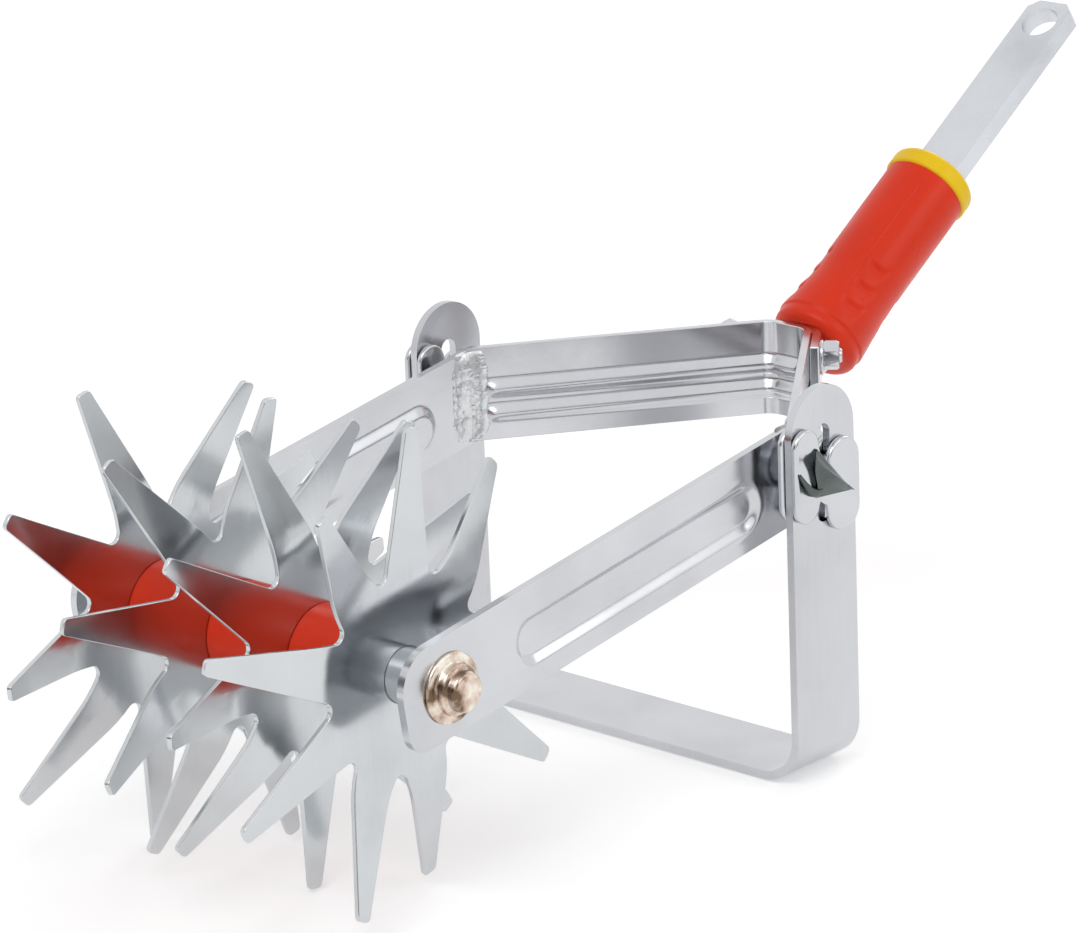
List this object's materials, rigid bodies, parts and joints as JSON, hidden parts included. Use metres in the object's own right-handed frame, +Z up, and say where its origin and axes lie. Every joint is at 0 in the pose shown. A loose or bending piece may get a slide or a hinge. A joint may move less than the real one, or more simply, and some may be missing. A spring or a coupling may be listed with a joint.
{
  "type": "rotary hand cultivator head",
  "caption": "Rotary hand cultivator head with toothed star wheels on an axle between two arms, a rocking stirrup blade and a red sleeved tang for a push-in handle",
  "frame": {"origin": "on the ground under the middle of the bounding box", "axes": "+X runs from the stars to the handle, +Y along the axle to the far side, +Z up"},
  "size_m": [0.4281, 0.1606, 0.1812],
  "materials": {
    "bright_zinc": "bright zinc plating, slightly blue, satin",
    "pressed_zinc": "pressed sheet, bright zinc plating, near mirror",
    "plain_steel": "bare turned and stamped steel",
    "copper_plate": "thin warm copper-nickel plating",
    "weld_metal": "rough plated weld bead",
    "red_plastic": "glossy injection-moulded plastic",
    "yellow_plastic": "glossy injection-moulded plastic"
  },
  "bodies": {
    "frame": {"axle_rod": "plain_steel", "axle_cap_near": "copper_plate", "axle_cap_far": "copper_plate", "arm_near": "pressed_zinc", "arm_far": "pressed_zinc", "crossbar": "pressed_zinc", "weld_near": "weld_metal", "weld_far": "weld_metal", "pivot_clip_near": "plain_steel", "pivot_clip_far": "plain_steel", "handle_foot": "pressed_zinc", "foot_studs": "bright_zinc", "foot_washers": "bright_zinc", "foot_nuts": "bright_zinc", "foot_weld": "weld_metal", "tang": "bright_zinc", "sleeve": "red_plastic", "collar": "yellow_plastic"},
    "rotor": {"star_1": "bright_zinc", "star_2": "bright_zinc", "star_3": "bright_zinc", "star_4": "bright_zinc", "spacer_near": "red_plastic", "spacer_mid": "red_plastic", "spacer_far": "red_plastic", "hub_tube": "plain_steel"},
    "stirrup": {"stirrup": "bright_zinc"}
  },
  "joints": [
    {"name": "axle", "type": "hinge", "parent": "frame", "child": "rotor", "pos_m": [-0.14617, 0, 0.069], "axis": [0, 1, 0], "continuous": true},
    {"name": "stirrup_rock", "type": "hinge", "parent": "frame", "child": "stirrup", "pos_m": [0.00143, 0, 0.093], "axis": [0, 1, 0], "range_deg": [-7, 7]}
  ]
}
